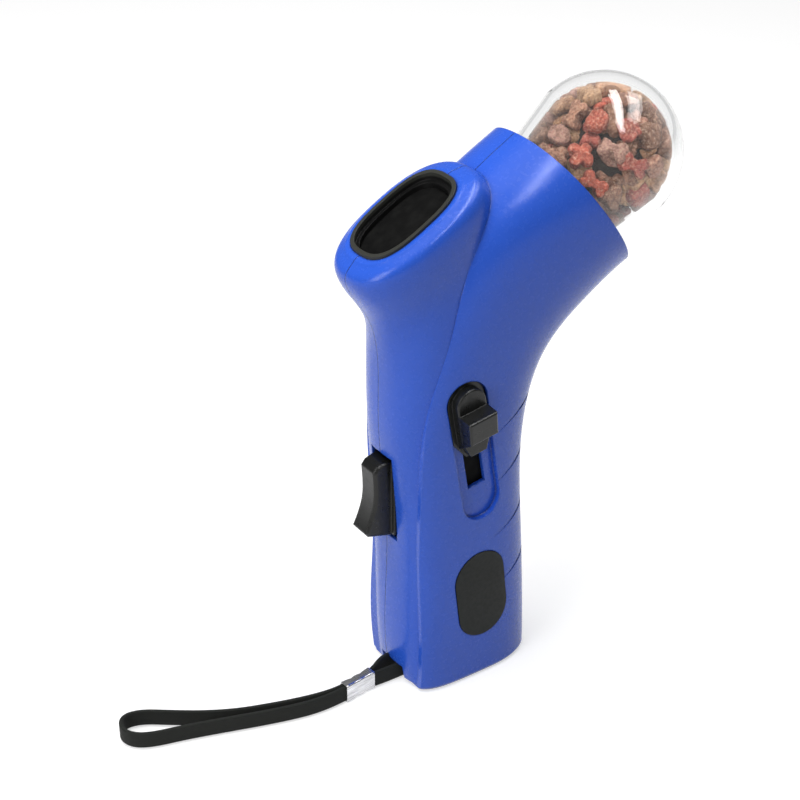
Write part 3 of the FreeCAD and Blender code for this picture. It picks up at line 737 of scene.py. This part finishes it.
@dataclass
class CoilSpring:
    """A wire coil with closed ends, built in place of its CAD node."""

    node: str
    joint: str
    frame: Matrix
    radius: float
    wire: float
    turns: int
    length: float
    keep: float
    steps_per_turn: int = 26
    sides: int = 8
    closed_turns: float = 0.8

    def build(self) -> bpy.types.Object:
        """Builds the coil with closed ends in place of its CAD node.

        Returns:
            The coil.
        """
        steps = self.turns * self.steps_per_turn
        line = []
        for i in range(steps + 1):
            share = i / steps
            turn = 2.0 * math.pi * self.turns * share
            rise = self.wire + (self.length - 2.0 * self.wire) * self.eased(share)
            line.append(self.frame @ Vector((math.cos(turn) * self.radius, math.sin(turn) * self.radius,
                                             rise)))
        corners = [2.0 * math.pi * i / self.sides for i in range(self.sides)]
        section = [Vector((math.cos(turn), math.sin(turn), 0.0)) * self.wire for turn in corners]
        axis = (self.frame.to_3x3() @ Vector((0.0, 0.0, 1.0))).normalized()
        coil = Strip(line, section, axis).build("coil_" + self.node, WIRE, Body.HOUSING, "spring_steel")
        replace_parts(coil, self.node)
        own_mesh(coil)
        return coil

    def eased(self, share: float) -> float:
        """Share of the rise at a share of the turns, flatter at both closed ends."""
        rest = self.closed_turns / self.turns
        return min(1.0, max(0.0, (share - rest) / (1.0 - 2.0 * rest)))


@dataclass
class Launcher:
    """Barrel, plate, plunger, slider and their spring."""

    spring: CoilSpring = field(default_factory=lambda: CoilSpring(
        "launch_spring", "plunger_slide", LAUNCH @ Matrix.Translation((0, 0, -51.95 * MM)),
        radius=6.3 * MM, wire=0.55 * MM, turns=9, length=42.6 * MM, keep=0.48))

    def build(self) -> None:
        """Dresses the launcher and builds its spring."""
        dress("launch_barrel", LIP)
        dress("launch_plate", DARK)
        dress("slider_knob", BLACK)
        dress("slider_carriage", DARK)
        dress("plunger_rod", PLATED)
        dress("knob_screw", PLATED)
        self.spring.build()


@dataclass
class TriggerGroup:
    """Push button and its return spring."""

    spring: CoilSpring = field(default_factory=lambda: CoilSpring(
        "trigger_spring", "trigger_press",
        Matrix.Translation((-14.9 * MM, 0, 66.0 * MM)) @ Matrix.Rotation(math.radians(-90), 4, "Y"),
        radius=2.4 * MM, wire=0.4 * MM, turns=6, length=10.2 * MM, keep=0.735))

    def build(self) -> None:
        """Dresses the push button and builds its spring."""
        dress("trigger", BUTTON)
        self.spring.build()


@dataclass
class Hopper:
    """Clear jar full of loose treats. Its sizes are in millimetres."""

    rim: float = 19.8
    side: float = 22.6
    centre: float = 20.4
    flare: float = 0.13
    lowest: float = -3.0
    dome: float = 26.5
    wall: float = 3.2
    neck: float = 19.2
    neck_wall: float = 1.8
    neck_end: float = -16.0
    shoulder: float = -4.2
    shoulder_radius: float = 22.9
    corner: float = 0.3
    jar_sides: int = 112
    dome_steps: int = 28
    wall_step: float = 2.0
    seed: int = 11
    layers: tuple[tuple[float, float, int], ...] = ((1.9, 6.9, 2600), (5.6, 6.6, 1600))
    treat_sides: int = 34
    treat_rows: tuple[tuple[float, float], ...] = (
        (-2.5, 0.45), (-2.6, 0.78), (-1.9, 0.95), (-0.6, 1.0), (0.7, 1.0), (1.9, 0.94),
        (2.6, 0.76), (2.5, 0.42))
    treat_crown: float = 2.3
    treat_sizes: tuple[float, float] = (0.82, 1.08)
    least_reach: float = 0.5
    treat_tilt: float = 0.28
    light: tuple[float, float] = (0.72, 1.15)
    filling_depth: float = 4.9
    filling_sides: int = 64
    filling_rows: int = 26
    tones: tuple[tuple[float, float, float], ...] = (
        (0.40, 0.205, 0.10), (0.46, 0.260, 0.13), (0.20, 0.090, 0.05), (0.30, 0.135, 0.085),
        (0.42, 0.080, 0.042), (0.26, 0.120, 0.07), (0.30, 0.058, 0.04), (0.42, 0.220, 0.165))

    def reach(self, height: float) -> float:
        """Finds the load's radius.

        Args:
            height: Height over the collar's rim, along the jar.

        Returns:
            The radius at that height.
        """
        if height <= self.centre:
            return self.rim + (self.side - self.rim) * max(0.0, height) / self.centre
        return math.sqrt(max(0.0, self.side ** 2 - (height - self.centre) ** 2))

    def held(self, point: Vector) -> Vector:
        """Keeps a point inside the load.

        Args:
            point: The point in the jar's frame, in millimetres.

        Returns:
            The point, pushed in where it stood out.
        """
        point = point.copy()
        point.z = max(point.z, self.lowest)
        if point.z > self.centre:
            out = point - Vector((0.0, 0.0, self.centre))
            if out.length > self.side:
                out *= self.side / out.length
            return out + Vector((0.0, 0.0, self.centre))
        flat = math.hypot(point.x, point.y)
        limit = self.reach(point.z)
        if flat > limit:
            point.x *= limit / flat
            point.y *= limit / flat
        return point

    def skin(self, height: float, turn: float, depth: float) -> tuple[Vector, Vector]:
        """A place under the load's skin.

        Args:
            height: Length along the skin from the rim, in millimetres.
            turn: Angle round the jar.
            depth: Depth under the skin.

        Returns:
            The place and the outward direction, in the jar's frame.
        """
        if height < self.centre:
            radius = self.reach(height)
            out = Vector((math.cos(turn), math.sin(turn), -self.flare)).normalized()
            return Vector((math.cos(turn) * radius, math.sin(turn) * radius, height)) - out * depth, out
        lift = min((height - self.centre) / self.side, math.pi / 2)
        out = Vector((math.cos(turn) * math.cos(lift), math.sin(turn) * math.cos(lift), math.sin(lift)))
        return Vector((0.0, 0.0, self.centre)) + out * (self.side - depth), out

    def places(self, draw: random.Random) -> list[tuple[Vector, Vector]]:
        """Scattered places, an outer layer first and then an inner one.

        Args:
            draw: The seeded source of chance.

        Returns:
            Places and outward directions in the jar's frame.
        """
        found: list[tuple[Vector, Vector]] = []
        total = self.centre + self.side * math.pi / 2
        for depth, room, tries in self.layers:
            layer: list[tuple[Vector, Vector]] = []
            for _ in range(tries):
                height = draw.uniform(1.0, total)
                wide = self.reach(height) if height < self.centre else \
                    self.side * math.cos((height - self.centre) / self.side)
                if draw.random() * self.side > wide:
                    continue
                place, out = self.skin(height, draw.uniform(-math.pi, math.pi), depth)
                if all((place - other).length > room for other, _ in layer):
                    layer.append((place, out))
            found += layer
        return found

    def outline(self, shape: TreatShape, turn: float) -> float:
        """How far a cutter outline reaches in one direction.

        Args:
            shape: The outline.
            turn: The direction.

        Returns:
            The reach in millimetres.
        """
        best = self.least_reach
        for x, y, radius in shape.value:
            along = x * math.cos(turn) + y * math.sin(turn)
            off = x * math.sin(turn) - y * math.cos(turn)
            if abs(off) < radius:
                best = max(best, along + math.sqrt(radius ** 2 - off ** 2))
        return best

    def treat(self, shape: TreatShape, size: float, grain: Vector) -> tuple[list[Vector], list[tuple]]:
        """One treat, lying in the XY plane.

        Args:
            shape: Its cutter outline.
            size: Scale of the outline.
            grain: Offset of its surface noise.

        Returns:
            Its points in millimetres and its faces.
        """
        around = self.treat_sides
        points = []
        for height, share in self.treat_rows:
            for i in range(around):
                turn = 2.0 * math.pi * i / around
                reach = self.outline(shape, turn) * size * share
                points.append(Vector((math.cos(turn) * reach, math.sin(turn) * reach, height * size)))
        crown = Vector((0.0, 0.0, self.treat_crown * size))
        points += [-crown, crown]
        points = [p + noise.noise_vector(p * 0.45 + grain) * 0.55
                  + noise.noise_vector(p * 1.5 + grain) * 0.22 for p in points]
        rows = len(self.treat_rows)
        faces = []
        for row in range(rows - 1):
            for i in range(around):
                j = (i + 1) % around
                a = row * around
                faces.append((a + i, a + j, a + around + j, a + around + i))
        low = rows * around
        top = (rows - 1) * around
        for i in range(around):
            j = (i + 1) % around
            faces.append((low, j, i))
            faces.append((low + 1, top + i, top + j))
        return points, faces

    def build_treats(self) -> bpy.types.Object:
        """Builds all the treats as one piece, pressed against the jar.

        Returns:
            The treats.
        """
        draw = random.Random(self.seed)
        noise.seed_set(self.seed)  # without a seed, noise_vector starts from the clock
        points: list[Vector] = []
        faces: list[tuple] = []
        tones: list[tuple[float, ...]] = []
        shapes = [TreatShape.BONE] * 4 + [TreatShape.CROSS] * 2 + [TreatShape.HEART] * 2 + \
            [TreatShape.STAR, TreatShape.LUMP, TreatShape.LUMP]
        for place, out in self.places(draw):
            tilt = Vector([draw.gauss(0.0, self.treat_tilt) for _ in range(3)])
            turn = (out + tilt).to_track_quat("Z", "X").to_matrix() @ \
                Matrix.Rotation(draw.uniform(0.0, 2.0 * math.pi), 3, "Z")
            size = draw.uniform(*self.treat_sizes)
            grain = Vector([draw.uniform(-90.0, 90.0) for _ in range(3)])
            own, own_faces = self.treat(draw.choice(shapes), size, grain)
            start = len(points)
            points += [JAR @ (self.held(turn @ p + place) * MM) for p in own]
            faces += [tuple(i + start for i in face) for face in own_faces]
            tone = draw.choice(self.tones)
            light = draw.uniform(*self.light)
            tones += [(*(c * light for c in tone), 1.0)] * len(own)
        obj = add_mesh("loose_treats", points, faces, TREAT, Body.JAR)
        layer = obj.data.color_attributes.new(name="tone", type="FLOAT_COLOR", domain="POINT")
        for i, tone in enumerate(tones):
            layer.data[i].color = tone
        return obj

    def build_filling(self) -> bpy.types.Object:
        """Builds the dark lumpy sheet behind the treats, painted shade for the gaps between them.

        Returns:
            The filling.
        """
        around = self.filling_sides
        rows = self.filling_rows
        depth = self.filling_depth
        total = self.centre + self.side * math.pi / 2
        points = []
        for row in range(rows):
            for i in range(around):
                turn = 2.0 * math.pi * i / around
                place, out = self.skin(total * row / rows, turn, depth)
                swell = noise.noise(place * 0.22) * 0.9
                points.append(JAR @ ((place + out * swell) * MM))
        points.append(JAR @ (Vector((0.0, 0.0, self.centre + self.side - depth)) * MM))
        points.append(JAR @ (Vector((0.0, 0.0, -2.0)) * MM))
        faces = []
        for row in range(rows - 1):
            for i in range(around):
                j = (i + 1) % around
                faces.append((row * around + i, row * around + j, (row + 1) * around + j,
                              (row + 1) * around + i))
        for i in range(around):
            j = (i + 1) % around
            faces.append(((rows - 1) * around + i, (rows - 1) * around + j, rows * around))
            faces.append((j, i, rows * around + 1))
        return add_mesh("treat_filling", points, faces, PAINTED_SHADE_FILL, Body.JAR)

    def jar_outline(self) -> list[tuple[float, float]]:
        """Draws half of the jar's wall in section.

        Returns:
            Radius and height of its points, from the outer to the inner pole.
        """
        quarter = [math.pi / 2 * i / self.dome_steps for i in range(self.dome_steps)]
        cut = self.corner
        inner = self.dome - self.wall
        bore = self.neck - self.neck_wall
        line, inside = ([(radius * math.sin(turn), self.centre + radius * math.cos(turn))
                         for turn in quarter] for radius in (self.dome, inner))
        corners = [(self.dome, self.centre), (self.shoulder_radius, self.shoulder + cut),
                   (self.shoulder_radius - cut, self.shoulder), (self.neck + cut, self.shoulder),
                   (self.neck, self.shoulder - cut), (self.neck, self.neck_end + cut),
                   (self.neck - cut, self.neck_end), (bore + cut, self.neck_end),
                   (bore, self.neck_end + cut), (bore, self.shoulder - 0.5),
                   (self.shoulder_radius - self.wall, -1.0), (inner, self.centre)]
        for a, b in zip(corners, corners[1:]):
            parts = max(1, round(math.dist(a, b) / self.wall_step))
            line += [(a[0] + (b[0] - a[0]) * i / parts, a[1] + (b[1] - a[1]) * i / parts)
                     for i in range(parts)]
        return line + [corners[-1]] + inside[::-1]

    def build_jar(self) -> bpy.types.Object:
        """Builds the clear jar as one smooth turned form.

        Returns:
            The jar.
        """
        around = self.jar_sides
        outline = self.jar_outline()
        points = []
        for radius, height in outline:
            for i in range(around if radius > 0.0 else 1):
                turn = 2.0 * math.pi * i / around
                place = Vector((math.cos(turn) * radius, math.sin(turn) * radius, height))
                points.append(JAR @ (place * MM))
        last = len(points) - 1
        rings = len(outline) - 2
        faces = []
        for i in range(around):
            j = (i + 1) % around
            faces.append((0, 1 + i, 1 + j))
            low = 1 + (rings - 1) * around
            faces.append((last, low + j, low + i))
            for row in range(rings - 1):
                a = 1 + row * around
                faces.append((a + i, a + around + i, a + around + j, a + j))
        return add_mesh("clear_jar", points, faces, CLEAR, Body.JAR)

    def build(self) -> None:
        """Dresses the jar and fills it."""
        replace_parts(self.build_jar(), "hopper_jar")
        dress("feed_chute", PALE)
        treats = self.build_treats()
        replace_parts(treats, "treat_load")
        # The dark sheet behind the treats is painted shade for the gaps between them.
        self.build_filling()


@dataclass
class WristStrap:
    """Flat webbing strap: a small hitch round the post, a crimp, and the wrist loop."""

    width: float = 6.0
    thick: float = 1.3
    rounding: float = 0.45
    lift: float = 3.6
    hitch_route: tuple[tuple[float, float, float], ...] = (
        (-37.9, -3.86, 3.6), (-34.5, -3.2, 4.0), (-31.0, -2.0, 5.6), (-27.6, -0.9, 5.2),
        (-23.5, -0.2, 3.7), (-17.2, 0.9, 3.5), (-13.7, -0.8, 3.5), (-13.7, -4.2, 3.5),
        (-17.2, -5.9, 3.5), (-23.5, -5.7, 3.5), (-28.0, -5.6, 3.4), (-31.5, -5.5, 3.4),
        (-34.5, -5.4, 3.5), (-37.7, -5.24, 3.6))
    loop_route: tuple[tuple[float, float], ...] = (
        (-42.6, -5.9), (-49.8, -6.8), (-59.5, -6.8), (-67.6, -5.2), (-78.0, -2.2), (-90.0, 1.8),
        (-103.0, 6.0), (-114.5, 8.9), (-120.0, 12.6), (-121.4, 18.2), (-118.2, 22.6), (-112.0, 21.6),
        (-104.0, 15.6), (-95.0, 9.2), (-85.0, 3.8), (-75.0, 0.2), (-65.9, -2.6), (-57.5, -4.6),
        (-50.0, -5.4), (-42.7, -4.5))
    crimp_start: Vector = field(default_factory=lambda: Vector((-36.0, -4.3, 0.0)))
    crimp_end: Vector = field(default_factory=lambda: Vector((-48.4, -5.9, 0.0)))
    crimp_height: float = 7.2
    crimp_half: float = 1.9
    crimp_wall: float = 0.45
    crimp_round: float = 0.7
    ridge_height: float = 0.09
    ridge_pitch: float = 1.15

    def webbing(self, name: str,
                route: list[tuple[float, float, float]]) -> tuple[Any, list[Vector], float]:
        """Builds one run of webbing, standing on its edge.

        Args:
            name: The piece's name.
            route: The middle of its route, in millimetres.

        Returns:
            The piece, its line and its length in metres.
        """
        line = smooth_line(route)
        section = rounded_section(self.thick / 2 * MM, self.width / 2 * MM, self.rounding * MM)
        piece = Strip(line, section).build(name, WEAVE, Body.HOUSING, "webbing")
        return piece, line, sum((b - a).length for a, b in zip(line, line[1:]))

    def crimp(self) -> bpy.types.Object:
        """Builds the pressed crimp, ridged along its length and rolled at its ends.

        Returns:
            The crimp.
        """
        way = self.crimp_end - self.crimp_start
        length = way.length
        way.normalize()
        profile = ((0.0, -0.12), (0.25, 0.05), (0.7, 0.0), (3.0, -0.12), (4.2, -0.3), (5.4, -0.12),
                   (7.0, -0.12), (8.2, -0.3), (9.4, -0.12), (length - 0.7, 0.0), (length - 0.25, 0.05),
                   (length, -0.12))
        side = way.cross(Vector((0.0, 0.0, 1.0))).normalized()
        middle = self.crimp_height / 2
        points: list[Vector] = []
        count = 0
        for inner, rows in ((False, profile), (True, ((length, 0.0), (0.0, 0.0)))):
            for at, grow in rows:
                inset = self.crimp_wall if inner else 0.0
                ring = rounded_section(self.crimp_half + grow - inset, middle + min(grow, 0.0) - inset,
                                       self.crimp_round, 5)
                count = len(ring)
                for i, p in enumerate(ring):
                    ridge = 0.0 if inner or abs(p.x) < 0.8 * self.crimp_half else \
                        self.ridge_height * math.cos(p.y * 2.0 * math.pi / self.ridge_pitch)
                    across = p.x + math.copysign(ridge, p.x)
                    base = self.crimp_start + way * at + side * across
                    points.append(Vector((base.x, base.y, middle + p.y)) * MM)
        faces = []
        rings = len(points) // count
        for i in range(rings):
            for j in range(count):
                k = (j + 1) % count
                n = (i + 1) % rings
                faces.append((i * count + j, i * count + k, n * count + k, n * count + j))
        obj = add_mesh("pressed_crimp", points, faces, CRIMP, Body.HOUSING)
        layer = obj.data.uv_layers.new(name="length")
        for loop in obj.data.loops:
            point = obj.data.vertices[loop.vertex_index].co / MM
            layer.data[loop.index].uv = ((point - self.crimp_start).dot(way),
                                         point.z + (point - self.crimp_start).dot(side))
        return obj

    def build(self) -> None:
        """Builds the strap's crimp and its two runs of webbing in place of their CAD nodes."""
        crimp = self.crimp()
        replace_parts(crimp, "strap_ferrule")
        hitch, line, length = self.webbing("hitch_webbing", list(self.hitch_route))
        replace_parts(hitch, "strap_hitch")
        loop, line, length = self.webbing("loop_webbing", [(x, y, self.lift) for x, y in self.loop_route])
        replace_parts(loop, "wrist_loop")


@dataclass
class Lamp:
    """A soft lamp that looks at the part, and lights it, shows in its gloss, or both."""

    name: str
    place: tuple[float, float, float]
    size: tuple[float, float]
    power: float
    target: tuple[float, float, float] = (0.0, 0.0, 0.1)
    lights: bool = True
    shines: bool = True
    roll: float = 0.0

    def build(self) -> None:
        """Adds the lamp."""
        light = bpy.data.lights.new(self.name, "AREA")
        light.shape = "RECTANGLE"
        light.size, light.size_y = self.size
        light.energy = self.power
        obj = bpy.data.objects.new(self.name, light)
        obj.visible_diffuse = self.lights
        obj.visible_glossy = self.shines
        obj.visible_transmission = self.shines
        obj.location = self.place
        aim = (Vector(self.target) - Vector(self.place)).to_track_quat("-Z", "Y").to_matrix()
        obj.rotation_euler = (aim @ Matrix.Rotation(math.radians(self.roll), 3, "Z")).to_euler()
        bpy.context.scene.collection.objects.link(obj)


@dataclass
class Studio:
    """White floor, soft lamps and the camera."""

    ambient: float = 0.24
    floor_glow: float = 0.55
    floor_tone: float = 0.55
    floor_half: float = 4.0
    floor_drop: float = 0.05 * MM
    eye: tuple[float, float, float] = (-0.28794, -0.39551, 0.37196)
    look: tuple[float, float, float] = (0.4891, 0.7251, -0.4848)
    lens: float = 75.6
    lamps: tuple[Lamp, ...] = (
        Lamp("overhead", (-0.15, 0.05, 1.25), (1.0, 1.0), 17.5, shines=False),
        Lamp("front_left", (-1.0, -0.25, 0.60), (0.5, 0.8), 6.0),
        Lamp("window", (0.203, -0.283, 1.145), (0.17, 1.40), 11.0, (0.053, -0.013, 0.194),
             lights=False, roll=-54.0),
        Lamp("window_side", (0.608, -0.215, 1.001), (0.26, 0.80), 3.5, (0.053, -0.013, 0.194),
             lights=False, roll=-97.0),
    )

    def build_floor(self) -> None:
        """Adds the white floor, which keeps the part's shadow."""
        mesh = bpy.data.meshes.new("floor")
        far = self.floor_half
        mesh.from_pydata([(-far, -far, 0), (far, -far, 0), (far, far, 0), (-far, far, 0)], [],
                         [(0, 1, 2, 3)])
        floor = bpy.data.objects.new("floor", mesh)
        floor.location.z = -self.floor_drop
        bpy.context.scene.collection.objects.link(floor)
        graph = Graph("white_floor")
        path = graph.add("LightPath").outputs
        seen = graph.sum("MAXIMUM", path["Is Camera Ray"],
                         graph.sum("MAXIMUM", path["Is Glossy Ray"], path["Is Transmission Ray"]))
        graph.finish(Base_Color=rgb(*[self.floor_tone] * 3), Roughness=0.7,
                     Emission_Color=rgb(1.0, 1.0, 1.0),
                     Emission_Strength=graph.sum("MULTIPLY", seen, self.floor_glow),
                     Specular_IOR_Level=0.0)
        mesh.materials.append(graph.material)

    def build_world(self) -> None:
        """Sets the even light from all round, white where it is seen."""
        world = bpy.data.worlds.new("studio")
        bpy.context.scene.world = world
        world.use_nodes = True
        tree = world.node_tree
        back = tree.nodes["Background"]
        path = tree.nodes.new("ShaderNodeLightPath")
        seen = tree.nodes.new("ShaderNodeMath")
        seen.operation = "MAXIMUM"
        tree.links.new(path.outputs["Is Camera Ray"], seen.inputs[0])
        tree.links.new(path.outputs["Is Transmission Ray"], seen.inputs[1])
        level = tree.nodes.new("ShaderNodeMapRange")
        tree.links.new(seen.outputs[0], level.inputs[0])
        level.inputs[3].default_value = self.ambient
        level.inputs[4].default_value = 1.0
        tree.links.new(level.outputs[0], back.inputs["Strength"])
        back.inputs["Color"].default_value = (1.0, 1.0, 1.0, 1.0)

    def build_camera(self) -> None:
        """Adds the camera at the photograph's viewing angle."""
        data = bpy.data.cameras.new("camera")
        data.lens = self.lens
        data.sensor_width = 36.0
        data.clip_start = 0.01
        camera = bpy.data.objects.new("camera", data)
        camera.location = self.eye
        camera.rotation_euler = Vector(self.look).to_track_quat("-Z", "Y").to_euler()
        bpy.context.scene.collection.objects.link(camera)
        bpy.context.scene.camera = camera

    def build(self) -> None:
        """Builds the whole studio."""
        bpy.context.scene.view_settings.view_transform = "Standard"
        self.build_floor()
        self.build_world()
        self.build_camera()
        for lamp in self.lamps:
            lamp.build()


def main() -> None:
    """Builds the dressed part and its studio."""
    logging.basicConfig(level=logging.INFO, format="%(name)s: %(message)s")
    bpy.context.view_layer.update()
    for group in (Studio(), Housing(), Launcher(), TriggerGroup(), Hopper(), WristStrap()):
        log.info("building %s", type(group).__name__)
        group.build()


if __name__ == "__main__":
    main()
